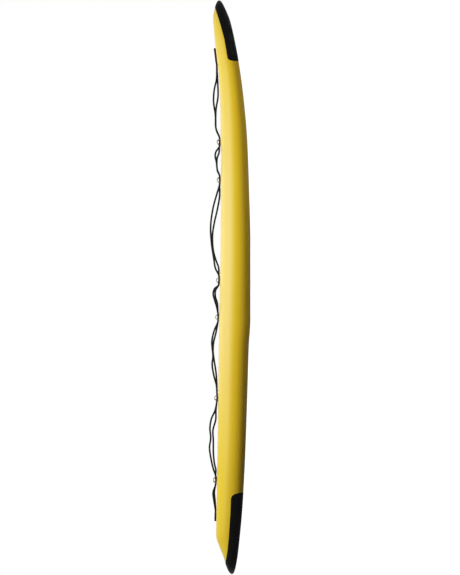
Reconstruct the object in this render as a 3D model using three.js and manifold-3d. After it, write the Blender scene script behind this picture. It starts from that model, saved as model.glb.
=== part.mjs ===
// Lifeguard rescue board: a soft-skinned foam board with rubber bumpers and two grab ropes in hinged rings.
// Millimetres, +Z up. The board lies on its hull, its nose points along +X and its centreline is on Y = 0.
// The left side is +Y. The origin is on the ground, below the middle of the board's length.

import * as THREE from 'three';
import * as BufferGeometryUtils from 'three/addons/utils/BufferGeometryUtils.js';
import Module from 'manifold-3d';

const wasm = await Module();
wasm.setup();

// Board sizes
const boardLength = 3200;
const boardWidth = 580;
const noseHeight = 208;
const deckDish = 4;
const skinThickness = 6;
const stringerThickness = 6;

// Bumper sizes, along the board from each tip
const noseBumperLength = 340;
const tailBumperLength = 457;
const solidTip = 60;

// Ring anchor sizes: the cup, the recess in it and the wire ring that hinges in its sockets
const ringSetback = 16;
const cupRadius = 20.5;
const cupDepth = 18;
const cupProud = 0.8;
const recessRadius = 16.5;
const recessDepth = 12;
const hingeDepth = 6;
const socketDepth = 3;
const wireDiameter = 4;
const ringWidth = 26;
const ringShoulder = 7;
const wireBend = 3;

// Rope sizes: the highest bow, how far a bow leans sideways, and the diagonal pass through each ring
const ropeDiameter = 10;
const bowHeight = 57;
const bowLean = 12;
const passReach = 28;
const passSwing = 23;
const passRise = 8;
const gateReach = 7;
const gateSwing = 12;
const longSpan = 55;

// Clamp sizes, with where a rope comes out of a clamp and where it ends inside
const clampHeight = 12;
const clampWidth = 92;
const clampCorner = 12;
const clampEdge = 3;
const noseClampLength = 84;
const noseClampSetback = 265;
const tailClampLength = 49;
const tailClampSetback = 295;
const ropeExitOut = 19;
const ropeEndOut = 12;
const ropeHold = 55;
const tailRopeHold = 32;

// Screw and insert sizes
const screwSpacing = 64;
const shankRadius = 2.5;
const headRadius = 4.8;
const headHeight = 3.2;
const headSink = 0.3;
const screwLength = 40;
const insertRadius = 7;
const insertLength = 36;

// Clearance between touching pieces, and how far a cut runs past what it cuts
const fitGap = 0.3;
const cutOverrun = 20;

// Outlines seen from the side: share of the length from the nose, share of the nose's height
const deckLineShares = [
  [0, 0.84], [0.0125, 0.95], [0.032, 1], [0.058, 0.972], [0.1, 0.902], [0.135, 0.84], [0.18, 0.808],
  [0.3, 0.794], [0.45, 0.804], [0.55, 0.839], [0.7, 0.866], [0.85, 0.901], [0.932, 0.919], [0.95, 0.839],
  [0.97, 0.72], [0.986, 0.643], [1, 0.49],
];
const keelLineShares = [
  [0, 0.84], [0.0125, 0.695], [0.037, 0.543], [0.066, 0.437], [0.106, 0.318], [0.17, 0.183], [0.247, 0.082],
  [0.34, 0.031], [0.43, 0], [0.555, 0], [0.6, 0.042], [0.68, 0.08], [0.8, 0.144], [0.88, 0.212],
  [0.94, 0.295], [0.973, 0.355], [1, 0.49],
];

// Outline seen from above: share of the length from the nose, share of the half width
const widthLineShares = [
  [0, 0], [0.0125, 0.36], [0.0375, 0.56], [0.106, 0.77], [0.2, 0.905], [0.32, 0.975], [0.44, 1], [0.58, 0.99],
  [0.72, 0.93], [0.85, 0.81], [0.93, 0.69], [0.969, 0.59], [0.9875, 0.46], [1, 0],
];

// Section across the board, as shares of its half width and of its depth there
const flatDeckShare = 0.66;
const flatHullShare = 0.8;
const widestShare = 0.41;
const hullSeamShare = 0.24;
const deckSeamShare = 0.74;

// Bumper edges: share of the bumper's length from the tip, share of the nose's height
const noseEdgeShares = [
  [0.1, 1.3], [0.118, 0.95], [0.37, 0.82], [0.56, 0.735], [0.66, 0.692], [0.89, 0.631], [0.955, 0.61],
  [0.982, 0.575], [0.994, 0.53], [1, 0.45], [1, -0.2], [-0.1, -0.2], [-0.1, 1.3],
];
const tailEdgeShares = [
  [0.12, 1.3], [0.14, 0.67], [0.313, 0.609], [0.586, 0.558], [0.8, 0.53], [0.93, 0.52], [0.957, 0.498],
  [0.977, 0.44], [0.99, 0.36], [1, 0.25], [1, -0.2], [-0.1, -0.2], [-0.1, 1.3],
];

// Ring places, from nose to tail, as shares of the board's length
const ringPlaceShares = [0.247, 0.313, 0.488, 0.552, 0.693, 0.836];

// Rope bows, from the nose clamp to the first ring and so on to the tail clamp, by hand. Each point is a
// share of the gap between the two holds and a share of the highest bow's height above the deck.
const bowShares = {
  right: [
    [[0.1, 0.18], [0.21, 0.28], [0.34, 0.56], [0.49, 0.67], [0.66, 0.51], [0.83, 0.46]],
    [[0.265, 0.47], [0.38, 0.54], [0.54, 0.42], [0.75, 0.33]],
    [[0.13, 0.37], [0.28, 0.77], [0.46, 1], [0.63, 0.91], [0.78, 0.68], [0.88, 0.49]],
    [[0.23, 0.51], [0.37, 0.63], [0.54, 0.47], [0.7, 0.28]],
    [[0.17, 0.49], [0.3, 0.7], [0.485, 0.58], [0.585, 0.65], [0.72, 0.47], [0.84, 0.21]],
    [[0.155, 0.3], [0.25, 0.63], [0.36, 0.76], [0.485, 0.67], [0.6, 0.77], [0.725, 0.63], [0.86, 0.37]],
    [[0.375, 0.37], [0.635, 0.28], [0.865, 0.15]],
  ],
  left: [
    [[0.115, 0.16], [0.265, 0.18], [0.42, 0.23], [0.58, 0.44], [0.73, 0.49], [0.84, 0.44]],
    [[0.28, 0.18], [0.405, 0.35], [0.565, 0.39], [0.75, 0.33]],
    [[0.16, 0.14], [0.29, 0.35], [0.425, 0.65], [0.55, 0.82], [0.695, 0.74], [0.8, 0.46], [0.87, 0.19]],
    [[0.275, 0.42], [0.44, 0.42], [0.625, 0.21]],
    [[0.185, 0.3], [0.31, 0.53], [0.42, 0.58], [0.54, 0.46], [0.675, 0.28], [0.815, 0.18]],
    [[0.16, 0.21], [0.265, 0.21], [0.4, 0.47], [0.515, 0.42], [0.68, 0.39], [0.8, 0.28], [0.885, 0.12]],
    [[0.375, 0.25], [0.635, 0.18], [0.865, 0.12]],
  ],
};

// How finely round stretches are cut
const stationCount = 30;
const deckSteps = 2;
const railSteps = 4;
const roundSides = 12;
const tubeSides = 8;
const crownSteps = 6;
const bendSteps = 2;
const longSpanSteps = 2;
const channelSteps = 3;

// Colours and finishes
const finishes = {
  skin: { color: 0xf2cd3c, roughness: 0.6, metalness: 0 },
  rubber: { color: 0x141414, roughness: 0.7, metalness: 0 },
  foam: { color: 0xf4f4f0, roughness: 0.9, metalness: 0 },
  plywood: { color: 0xc49a63, roughness: 0.7, metalness: 0 },
  cup: { color: 0xe0b92c, roughness: 0.5, metalness: 0 },
  steel: { color: 0xc8cace, roughness: 0.2, metalness: 1 },
  rope: { color: 0x0c0c0d, roughness: 0.85, metalness: 0 },
  nylon: { color: 0x101011, roughness: 0.55, metalness: 0 },
};

const board = new THREE.Group();

// Geometry helpers

function closedGeometry(geometry) {
  const bare = geometry.clone();
  bare.deleteAttribute('normal');
  bare.deleteAttribute('uv');
  return BufferGeometryUtils.mergeVertices(bare);
}

function solidOf(geometry) {
  const merged = closedGeometry(geometry);
  const vertProperties = new Float32Array(merged.attributes.position.array);
  const triVerts = new Uint32Array(merged.index.array);
  return new wasm.Manifold(new wasm.Mesh({ numProp: 3, vertProperties, triVerts }));
}

function geometryOf(solid) {
  const { vertProperties, triVerts } = solid.getMesh();
  const geometry = new THREE.BufferGeometry();
  geometry.setAttribute('position', new THREE.Float32BufferAttribute(vertProperties, 3));
  geometry.setIndex(Array.from(triVerts));
  geometry.computeVertexNormals();
  return geometry;
}

function addPiece(name, geometry, finish, parent = board) {
  const mesh = new THREE.Mesh(geometry, new THREE.MeshStandardMaterial(finishes[finish]));
  mesh.name = name;
  parent.add(mesh);
  return mesh;
}

// Rings run along the solid, counter-clockwise seen from its far end. A ring of one point is a pointed end.
function solidFromRings(rings) {
  const positions = [];
  const triangle = (...corners) => corners.forEach((corner) => positions.push(...corner.toArray()));
  for (let i = 1; i < rings.length; i += 1) {
    const near = rings[i - 1];
    const far = rings[i];
    const count = Math.max(near.length, far.length);
    for (let j = 0; j < count; j += 1) {
      const k = (j + 1) % count;
      if (near.length > 1) triangle(near[j], near[k], far[k % far.length]);
      if (far.length > 1) triangle(near[j % near.length], far[k], far[j]);
    }
  }
  const closeEnd = (ring, reversed) => {
    if (ring.length === 1) return;
    const middle = ring.reduce((sum, point) => sum.add(point), new THREE.Vector3()).divideScalar(ring.length);
    ring.forEach((point, j) => {
      const next = ring[(j + 1) % ring.length];
      if (reversed) triangle(middle, next, point);
      else triangle(middle, point, next);
    });
  };
  closeEnd(rings[0], true);
  closeEnd(rings[rings.length - 1], false);
  const geometry = new THREE.BufferGeometry();
  geometry.setAttribute('position', new THREE.Float32BufferAttribute(positions, 3));
  return solidOf(geometry);
}

// A round piece from its profile of radius and height, standing along Z
function turned(profile, sides) {
  const points = profile.map(([radius, height]) => new THREE.Vector2(radius, height));
  return new THREE.LatheGeometry(points, sides).rotateX(Math.PI / 2);
}

function turnedRod(radius, bottom, top, sides) {
  return turned([[0, bottom], [radius, bottom], [radius, top], [0, top]], sides);
}

function drawnOut(outline, depth) {
  const shape = new THREE.Shape(outline.map(([x, up]) => new THREE.Vector2(x, up)));
  return new THREE.ExtrudeGeometry(shape, { depth, bevelEnabled: false });
}

// A flat outline in X and Z, drawn out across the whole width of the board
function acrossBoard(outline) {
  const depth = boardWidth + 2 * cutOverrun;
  return solidOf(drawnOut(outline, depth).rotateX(Math.PI / 2).translate(0, depth / 2, 0));
}

// A flat outline in X and Y, drawn out through the whole height of the board
function throughBoard(outline) {
  const depth = noseHeight + 2 * cutOverrun;
  return solidOf(drawnOut(outline, depth).translate(0, 0, -cutOverrun));
}

// A path that goes straight from point to point, with a section at each
class PointPath extends THREE.Curve {
  constructor(points) {
    super();
    this.points = points;
  }

  getPointAt(share) {
    return this.points[Math.round(share * (this.points.length - 1))].clone();
  }

  getTangentAt(share) {
    const last = this.points.length - 1;
    const index = Math.round(share * last);
    const before = this.points[Math.max(index - 1, 0)];
    const after = this.points[Math.min(index + 1, last)];
    return after.clone().sub(before).normalize();
  }
}

function tubeAlong(points, radius, sides) {
  const corners = Array.from({ length: sides }, (unused, i) => {
    const angle = (2 * Math.PI * i) / sides;
    return new THREE.Vector2(radius * Math.cos(angle), radius * Math.sin(angle));
  });
  return new THREE.ExtrudeGeometry(new THREE.Shape(corners), {
    extrudePath: new PointPath(points),
    steps: points.length - 1,
    bevelEnabled: false,
  });
}

// Board outline: the phase runs from 0 at the nose to 1 at the tail, slowly near both, which rounds the tips

const phaseOf = (share) => Math.acos(1 - 2 * share) / Math.PI;
const shareOf = (phase) => (1 - Math.cos(Math.PI * phase)) / 2;
const placeOf = (phase) => boardLength * (1 / 2 - shareOf(phase));

// A smooth line through the given points, flat where they are level, so it never swings past them
function lineThrough(pointShares) {
  const phases = pointShares.map(([share]) => phaseOf(share));
  const values = pointShares.map(([, value]) => value);
  const rises = values.slice(1).map((value, i) => (value - values[i]) / (phases[i + 1] - phases[i]));
  const slopes = values.map((value, i) => {
    if (i === 0) return rises[0];
    if (i === rises.length) return rises[i - 1];
    const product = rises[i - 1] * rises[i];
    return product <= 0 ? 0 : (2 * product) / (rises[i - 1] + rises[i]);
  });
  return (phase) => {
    let i = 0;
    while (i < rises.length - 1 && phase > phases[i + 1]) i += 1;
    const span = phases[i + 1] - phases[i];
    const t = (phase - phases[i]) / span;
    const startPull = slopes[i] * span * t * (1 - t) * (1 - t);
    const endPull = slopes[i + 1] * span * t * t * (t - 1);
    const blend = t * t * (3 - 2 * t);
    return values[i] * (1 - blend) + values[i + 1] * blend + startPull + endPull;
  };
}

const deckLine = lineThrough(deckLineShares);
const keelLine = lineThrough(keelLineShares);
const widthLine = lineThrough(widthLineShares);

const halfWidthAt = (phase) => (boardWidth / 2) * widthLine(phase);

// Points of the left half section, from the deck's centre down to the keel, drawn in by the inset
function halfSection(phase, inset) {
  const halfWidth = halfWidthAt(phase) - inset;
  const deck = noseHeight * deckLine(phase) - inset;
  const keel = noseHeight * keelLine(phase) + inset;
  const widest = keel + widestShare * (deck - keel);
  const dish = deckDish * Math.sin(Math.PI * shareOf(phase));
  const points = [];
  for (let i = 0; i <= deckSteps; i += 1) {
    const reach = i / deckSteps;
    points.push([halfWidth * flatDeckShare * reach, deck - dish * (1 - reach * reach)]);
  }
  for (let i = 1; i <= railSteps; i += 1) {
    const angle = (Math.PI / 2) * (i / railSteps);
    const out = flatDeckShare + (1 - flatDeckShare) * Math.sin(angle);
    points.push([halfWidth * out, widest + (deck - widest) * Math.cos(angle)]);
  }
  for (let i = 1; i <= railSteps; i += 1) {
    const angle = (Math.PI / 2) * (i / railSteps);
    const out = flatHullShare + (1 - flatHullShare) * Math.cos(angle);
    points.push([halfWidth * out, widest - (widest - keel) * Math.sin(angle)]);
  }
  points.push([0, keel]);
  return points;
}

function sectionRing(phase, inset) {
  const half = halfSection(phase, inset);
  const otherHalf = half.slice(1, -1).reverse().map(([y, z]) => [-y, z]);
  return [...half, ...otherHalf].map(([y, z]) => new THREE.Vector3(placeOf(phase), y, z));
}

const stationPhases = Array.from({ length: stationCount + 1 }, (unused, i) => i / stationCount);

function outerBody() {
  const noseTip = new THREE.Vector3(placeOf(0), 0, noseHeight * deckLine(0));
  const tailTip = new THREE.Vector3(placeOf(1), 0, noseHeight * deckLine(1));
  const inner = stationPhases.slice(1, -1).map((phase) => sectionRing(phase, 0));
  return solidFromRings([[noseTip], ...inner, [tailTip]]);
}

// The space inside the skins, which stops short of both tips and ends square
function innerBody(inset) {
  const shortening = solidTip + (inset - skinThickness);
  const first = phaseOf(shortening / boardLength);
  const last = phaseOf(1 - shortening / boardLength);
  const step = 1 / stationCount;
  const between = stationPhases.filter((phase) => phase > first + step / 2 && phase < last - step / 2);
  return solidFromRings([first, ...between, last].map((phase) => sectionRing(phase, inset)));
}

const middlePhases = stationPhases.slice(1).map((phase) => phase - 1 / (2 * stationCount));

// Everything above the seam between the rail skins and the hull skin, or below it
function hullSeamSide(above) {
  const line = middlePhases.map((phase) => {
    const deck = noseHeight * deckLine(phase);
    const keel = noseHeight * keelLine(phase);
    const half = above ? fitGap / 2 : -fitGap / 2;
    return [placeOf(phase), keel + hullSeamShare * (deck - keel) + half];
  });
  const end = boardLength / 2 + cutOverrun;
  const far = above ? noseHeight + cutOverrun : -cutOverrun;
  return acrossBoard([[end, line[0][1]], ...line, [-end, line[line.length - 1][1]], [-end, far], [end, far]]);
}

// Everything between the seams of the deck skin and the rail skins, with the slack added on both sides
function deckSeamSpace(slack) {
  const line = middlePhases.map((phase) => [placeOf(phase), deckSeamShare * halfWidthAt(phase) + slack]);
  return throughBoard([...line, ...line.slice().reverse().map(([x, y]) => [x, -y])]);
}

// The space of a bumper, seen from the side. The slack is taken off its rear and upper edges.
function bumperSpace(edgeShares, bumperLength, tip, direction, slack) {
  const outline = edgeShares.map(([along, up]) => {
    const x = tip - direction * (bumperLength * along + slack);
    return [x, noseHeight * up + slack];
  });
  return acrossBoard(outline);
}

const noseSpace = (slack) => bumperSpace(noseEdgeShares, noseBumperLength, boardLength / 2, 1, slack);
const tailSpace = (slack) => bumperSpace(tailEdgeShares, tailBumperLength, -boardLength / 2, -1, slack);

const outer = outerBody();
const shell = outer.subtract(innerBody(skinThickness));

// Height of the deck above the ground at any place on it

const deckProbe = new THREE.Mesh(geometryOf(outer));

function deckAt(x, y) {
  const from = new THREE.Vector3(x, y, noseHeight + cutOverrun);
  const ray = new THREE.Raycaster(from, new THREE.Vector3(0, 0, -1));
  return ray.intersectObject(deckProbe)[0].point.z;
}

// Ring anchors: a cup let into the deck, and a wire ring whose ends turn in the cup's sockets

function ringPlace(share, side) {
  const phase = phaseOf(share);
  const x = placeOf(phase);
  const y = side * (flatDeckShare * halfWidthAt(phase) - ringSetback);
  return new THREE.Vector3(x, y, deckAt(x, y) + cupProud);
}

const wireRadius = wireDiameter / 2;
const socketEnd = recessRadius + socketDepth;

function cupGeometry() {
  const cup = turned([
    [0, -cupDepth], [cupRadius, -cupDepth], [cupRadius, 0],
    [recessRadius, 0], [recessRadius, -recessDepth], [0, -recessDepth],
  ], roundSides);
  const sockets = turnedRod(wireRadius + fitGap, -socketEnd, socketEnd, tubeSides);
  sockets.rotateY(Math.PI / 2).translate(0, 0, -hingeDepth);
  return geometryOf(solidOf(cup).subtract(solidOf(sockets)));
}

// The wire goes in one socket, up, over the crown, down and in the other socket
function ringGeometry() {
  const halfWidth = ringWidth / 2;
  const onePath = [];
  onePath.push([socketEnd - fitGap, -hingeDepth]);
  for (let i = 0; i <= bendSteps; i += 1) {
    const angle = (Math.PI / 2) * (i / bendSteps);
    const out = halfWidth + wireBend * (1 - Math.sin(angle));
    onePath.push([out, -hingeDepth + wireBend * (1 - Math.cos(angle))]);
  }
  for (let i = 0; i < crownSteps / 2; i += 1) {
    const angle = Math.PI * (i / crownSteps);
    onePath.push([halfWidth * Math.cos(angle), ringShoulder + halfWidth * Math.sin(angle)]);
  }
  const crown = [[0, ringShoulder + halfWidth]];
  const otherPath = onePath.slice().reverse().map(([x, z]) => [-x, z]);
  const points = [...onePath, ...crown, ...otherPath].map(([x, z]) => new THREE.Vector3(x, 0, z));
  return tubeAlong(points, wireRadius, tubeSides);
}

function cupPocket(place) {
  const pocket = turnedRod(cupRadius + fitGap, -cupDepth - fitGap, cutOverrun, roundSides);
  return solidOf(pocket.translate(place.x, place.y, place.z));
}

const sides = [['left', 1], ['right', -1]];
const anchors = sides.flatMap(([sideName, side]) => ringPlaceShares.map((share, i) => (
  { name: `${sideName}_${i + 1}`, place: ringPlace(share, side) }
)));

for (const { name, place } of anchors) {
  const anchor = new THREE.Group();
  anchor.position.copy(place);
  addPiece(`ring_cup_${name}`, cupGeometry(), 'cup', anchor);
  addPiece(`rope_ring_${name}`, ringGeometry(), 'steel', anchor);
  board.add(anchor);
}

// Rope clamps: a moulded block that lies on the deck, tilted with it, over the ends of both ropes

function clampPlace(setback, length, tip, direction) {
  const near = tip - direction * setback;
  const far = near - direction * length;
  const middle = (near + far) / 2;
  const tilt = -Math.atan((deckAt(near, 0) - deckAt(far, 0)) / (near - far));
  const place = new THREE.Matrix4().makeRotationY(tilt);
  const height = Math.max(deckAt(middle, 0), (deckAt(near, 0) + deckAt(far, 0)) / 2);
  return place.setPosition(middle, 0, height + fitGap);
}

function roundedRing(length, width, inset, z) {
  const corner = clampCorner - inset;
  const ring = [];
  [[1, 1], [-1, 1], [-1, -1], [1, -1]].forEach(([sideX, sideY], quarter) => {
    for (let i = 0; i <= railSteps; i += 1) {
      const angle = (Math.PI / 2) * (quarter + i / railSteps);
      const x = sideX * (length / 2 - clampCorner) + corner * Math.cos(angle);
      const y = sideY * (width / 2 - clampCorner) + corner * Math.sin(angle);
      ring.push(new THREE.Vector3(x, y, z));
    }
  });
  return ring;
}

function clampBlock(length) {
  return solidFromRings([
    roundedRing(length, clampWidth, 0, 0),
    roundedRing(length, clampWidth, 0, clampHeight - clampEdge),
    roundedRing(length, clampWidth, clampEdge, clampHeight),
  ]);
}

const screwTop = clampHeight - headSink;
const screwBottom = screwTop - screwLength;
const insertTop = -skinThickness - 3 * fitGap;

function screwGeometry() {
  return turned([
    [0, screwBottom], [shankRadius, screwBottom], [shankRadius, screwTop - headHeight],
    [headRadius, screwTop - headHeight], [headRadius, screwTop], [0, screwTop],
  ], roundSides);
}

function screwHole() {
  return turned([
    [0, screwBottom - fitGap], [shankRadius + fitGap, screwBottom - fitGap],
    [shankRadius + fitGap, screwTop - headHeight - fitGap],
    [headRadius + fitGap, screwTop - headHeight - fitGap], [headRadius + fitGap, cutOverrun], [0, cutOverrun],
  ], roundSides);
}

function insertGeometry() {
  const plug = turnedRod(insertRadius, insertTop - insertLength, insertTop, roundSides);
  return geometryOf(solidOf(plug).subtract(solidOf(screwHole())));
}

function insertPocket() {
  return turnedRod(insertRadius + fitGap, insertTop - insertLength - fitGap, cutOverrun, roundSides);
}

const noseClamp = {
  name: 'nose',
  length: noseClampLength,
  place: clampPlace(noseClampSetback, noseClampLength, boardLength / 2, 1),
  mouth: -noseClampLength / 2,
  ropeEnd: ropeHold - noseClampLength / 2,
};
const tailClamp = {
  name: 'tail',
  length: tailClampLength,
  place: clampPlace(tailClampSetback, tailClampLength, -boardLength / 2, -1),
  mouth: tailClampLength / 2,
  ropeEnd: tailClampLength / 2 - tailRopeHold,
};
const clamps = [noseClamp, tailClamp];

const atScrew = (geometry, side, place) => (
  geometry.translate(0, (side * screwSpacing) / 2, 0).applyMatrix4(place)
);

// Grab ropes: out of the nose clamp, through each ring in turn, alternately outwards and inwards, to the tail

const ropeRadius = ropeDiameter / 2;

function clampRopePoints(clamp, side) {
  const seat = ropeRadius + fitGap;
  const mouth = new THREE.Vector3(clamp.mouth, side * ropeExitOut, seat).applyMatrix4(clamp.place);
  const end = new THREE.Vector3(clamp.ropeEnd, side * ropeEndOut, seat).applyMatrix4(clamp.place);
  return { mouth, end };
}

// The rope passes a ring on a diagonal: outwards at every other one
function passPoints(ring, side, outwards) {
  const turn = outwards ? side : -side;
  const seat = cupProud + fitGap + ropeRadius;
  return [
    [passReach, -passSwing, passRise], [gateReach, -gateSwing, seat],
    [-gateReach, gateSwing, seat], [-passReach, passSwing, passRise],
  ].map(([ahead, swing, above]) => {
    const x = ring.x + ahead;
    const y = ring.y + turn * swing;
    return new THREE.Vector3(x, y, deckAt(x, y) + above);
  });
}

function bowPoints(from, to, lean, bow) {
  return bow.map(([share, rise]) => {
    const x = from.x + (to.x - from.x) * share;
    const y = from.y + (to.y - from.y) * share + lean * Math.sin(Math.PI * share);
    return new THREE.Vector3(x, y, deckAt(x, y) + bowHeight * rise);
  });
}

function ropeKnots(sideName, side) {
  const front = clampRopePoints(noseClamp, side);
  const rear = clampRopePoints(tailClamp, side);
  const rings = ringPlaceShares.map((share) => ringPlace(share, side));
  const passes = rings.map((ring, i) => passPoints(ring, side, i % 2 === 0));
  const knots = [front.end, front.mouth];
  bowShares[sideName].forEach((bow, i) => {
    const from = i === 0 ? front.mouth : rings[i - 1];
    const to = i === rings.length ? rear.mouth : rings[i];
    const inOrOut = i % 2 === 0 ? -1 : 1;
    const between = i > 0 && i < rings.length;
    const shift = between ? side * inOrOut * passSwing : 0;
    const start = new THREE.Vector3(from.x, from.y + shift, from.z);
    const finish = new THREE.Vector3(to.x, to.y + shift, to.z);
    const lean = between ? side * inOrOut * bowLean : 0;
    knots.push(...bowPoints(start, finish, lean, bow));
    if (i < rings.length) knots.push(...passes[i]);
  });
  return [...knots, rear.mouth, rear.end];
}

function ropePoints(knots) {
  const curve = new THREE.CatmullRomCurve3(knots);
  const spans = knots.length - 1;
  const points = [knots[0]];
  for (let i = 0; i < spans; i += 1) {
    const steps = knots[i].distanceTo(knots[i + 1]) < longSpan ? 1 : longSpanSteps;
    for (let j = 1; j <= steps; j += 1) points.push(curve.getPoint((i + j / steps) / spans));
  }
  return points;
}

const ropes = sides.map(([sideName, side]) => {
  const points = ropePoints(ropeKnots(sideName, side));
  addPiece(`${sideName}_grab_rope`, tubeAlong(points, ropeRadius, tubeSides), 'rope');
  return points;
});

// The way that a rope takes through a clamp, open to the deck below
function ropeChannel(points) {
  const reach = (ropeRadius + fitGap) / Math.cos(Math.PI / tubeSides);
  const drop = clampHeight;
  const diagonal = reach * Math.SQRT1_2;
  const section = [
    [reach, -drop], [reach, 0], [diagonal, diagonal], [0, reach],
    [-diagonal, diagonal], [-reach, 0], [-reach, -drop],
  ];
  const path = new PointPath(points);
  const last = points.length - 1;
  const rings = points.map((point, i) => {
    const tangent = path.getTangentAt(i / last);
    const across = new THREE.Vector3(0, 0, 1).cross(tangent).normalize();
    const above = tangent.clone().cross(across);
    const start = i === 0 ? point.clone().addScaledVector(tangent, -fitGap) : point;
    return section.map(([out, up]) => start.clone().addScaledVector(across, out).addScaledVector(above, up));
  });
  return solidFromRings(rings);
}

const fromEnd = (points) => points.slice(0, channelSteps + 1);
noseClamp.channels = ropes.map((points) => ropeChannel(fromEnd(points)));
tailClamp.channels = ropes.map((points) => ropeChannel(fromEnd(points.slice().reverse())));

// Skins, bumpers, foam halves and stringer, with the holes for what is let into them

const cupPockets = anchors.map(({ place }) => cupPocket(place));
const atScrews = (makeGeometry, place) => (
  sides.map(([, side]) => solidOf(atScrew(makeGeometry(), side, place)))
);
const screwHoles = clamps.flatMap(({ place }) => atScrews(screwHole, place));
const insertPockets = clamps.flatMap(({ place }) => atScrews(insertPocket, place));
const { difference } = wasm.Manifold;

function slab(halfThickness) {
  const box = new THREE.BoxGeometry(boardLength, 2 * halfThickness, 2 * (noseHeight + cutOverrun));
  return solidOf(box);
}

function halfSpace(side) {
  const start = stringerThickness / 2 + fitGap;
  const depth = boardWidth / 2;
  const box = new THREE.BoxGeometry(boardLength, depth, 2 * (noseHeight + cutOverrun));
  return solidOf(box.translate(0, side * (start + depth / 2), 0));
}

const withoutBumpers = shell.subtract(noseSpace(fitGap)).subtract(tailSpace(fitGap));
const upperSkin = withoutBumpers.intersect(hullSeamSide(true));
const deckSkin = difference([upperSkin.intersect(deckSeamSpace(-fitGap / 2)), ...cupPockets, ...screwHoles]);
const railSkins = upperSkin.subtract(deckSeamSpace(fitGap / 2));
addPiece('deck_skin', geometryOf(deckSkin), 'skin');
for (const [sideName, side] of sides) {
  addPiece(`rail_skin_${sideName}`, geometryOf(railSkins.intersect(halfSpace(side))), 'skin');
}
addPiece('hull_skin', geometryOf(withoutBumpers.intersect(hullSeamSide(false))), 'skin');
addPiece('nose_bumper', geometryOf(shell.intersect(noseSpace(0))), 'rubber');
addPiece('tail_bumper', geometryOf(shell.intersect(tailSpace(0))), 'rubber');

const inside = innerBody(skinThickness + fitGap);
addPiece('centre_stringer', geometryOf(inside.intersect(slab(stringerThickness / 2))), 'plywood');
for (const [sideName, side] of sides) {
  const half = difference([inside.intersect(halfSpace(side)), ...cupPockets, ...insertPockets]);
  addPiece(`foam_core_${sideName}`, geometryOf(half), 'foam');
}

for (const { name, length, place, channels } of clamps) {
  const block = clampBlock(length).transform(place.elements);
  const hollowed = difference([block, ...atScrews(screwHole, place), ...channels]);
  addPiece(`${name}_rope_clamp`, geometryOf(hollowed), 'nylon');
  for (const [sideName, side] of sides) {
    addPiece(`${name}_clamp_screw_${sideName}`, atScrew(screwGeometry(), side, place), 'steel');
    addPiece(`${name}_clamp_insert_${sideName}`, atScrew(insertGeometry(), side, place), 'nylon');
  }
}

export default board;
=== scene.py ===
# Lifeguard rescue board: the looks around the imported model.
# Metres, +Z up. The nose points along +X, the left side is +Y and the hull rests on Z = 0.

import math

import bmesh
import bpy
import numpy as np
from mathutils import Matrix, Vector


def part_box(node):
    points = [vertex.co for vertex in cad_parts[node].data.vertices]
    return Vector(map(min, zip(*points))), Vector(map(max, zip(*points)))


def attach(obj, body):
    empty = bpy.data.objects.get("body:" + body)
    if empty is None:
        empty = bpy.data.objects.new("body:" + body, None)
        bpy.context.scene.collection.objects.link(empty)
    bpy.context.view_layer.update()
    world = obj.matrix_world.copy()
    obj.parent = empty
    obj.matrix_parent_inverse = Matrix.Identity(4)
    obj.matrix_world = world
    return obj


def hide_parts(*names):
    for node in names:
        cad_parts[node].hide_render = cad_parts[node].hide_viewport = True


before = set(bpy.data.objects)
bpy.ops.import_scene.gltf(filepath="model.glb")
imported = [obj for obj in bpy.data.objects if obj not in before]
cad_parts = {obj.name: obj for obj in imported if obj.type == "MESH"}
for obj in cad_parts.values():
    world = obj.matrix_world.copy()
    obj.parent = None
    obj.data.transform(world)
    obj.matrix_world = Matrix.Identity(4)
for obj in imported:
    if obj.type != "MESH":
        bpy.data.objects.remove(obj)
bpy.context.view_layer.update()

MM = 0.001

# Camera: level, square to the board's side, and turned so that the nose is at the top of the picture
CAMERA_DISTANCE = 80.0
CAMERA_REACH = 2000
CAMERA_X = -0.0014
CAMERA_Z = 0.1138
VIEW_HEIGHT = 3.2085
SENSOR = 36.0

# Board sizes, as in the source of the solids
BOARD_LENGTH = 3.2
HALF_WIDTH = 0.29
NOSE_HEIGHT = 0.208
DECK_DISH = 0.004
NOSE_BUMPER_LENGTH = 0.34
TAIL_BUMPER_LENGTH = 0.457
FIT_GAP = 0.0003

DECK_LINE = [
    (0, 0.84), (0.0125, 0.95), (0.032, 1), (0.058, 0.972), (0.1, 0.902), (0.135, 0.84), (0.18, 0.808),
    (0.3, 0.794), (0.45, 0.804), (0.55, 0.839), (0.7, 0.866), (0.85, 0.901), (0.932, 0.919), (0.95, 0.839),
    (0.97, 0.72), (0.986, 0.643), (1, 0.49),
]
KEEL_LINE = [
    (0, 0.84), (0.0125, 0.695), (0.037, 0.543), (0.066, 0.437), (0.106, 0.318), (0.17, 0.183), (0.247, 0.082),
    (0.34, 0.031), (0.43, 0), (0.555, 0), (0.6, 0.042), (0.68, 0.08), (0.8, 0.144), (0.88, 0.212),
    (0.94, 0.295), (0.973, 0.355), (1, 0.49),
]
WIDTH_LINE = [
    (0, 0), (0.0125, 0.36), (0.0375, 0.56), (0.106, 0.77), (0.2, 0.905), (0.32, 0.975), (0.44, 1),
    (0.58, 0.99), (0.72, 0.93), (0.85, 0.81), (0.93, 0.69), (0.969, 0.59), (0.9875, 0.46), (1, 0),
]
FLAT_DECK = 0.66
FLAT_HULL = 0.8
WIDEST = 0.41
HULL_SEAM = 0.24
DECK_SEAM = 0.74

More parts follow.
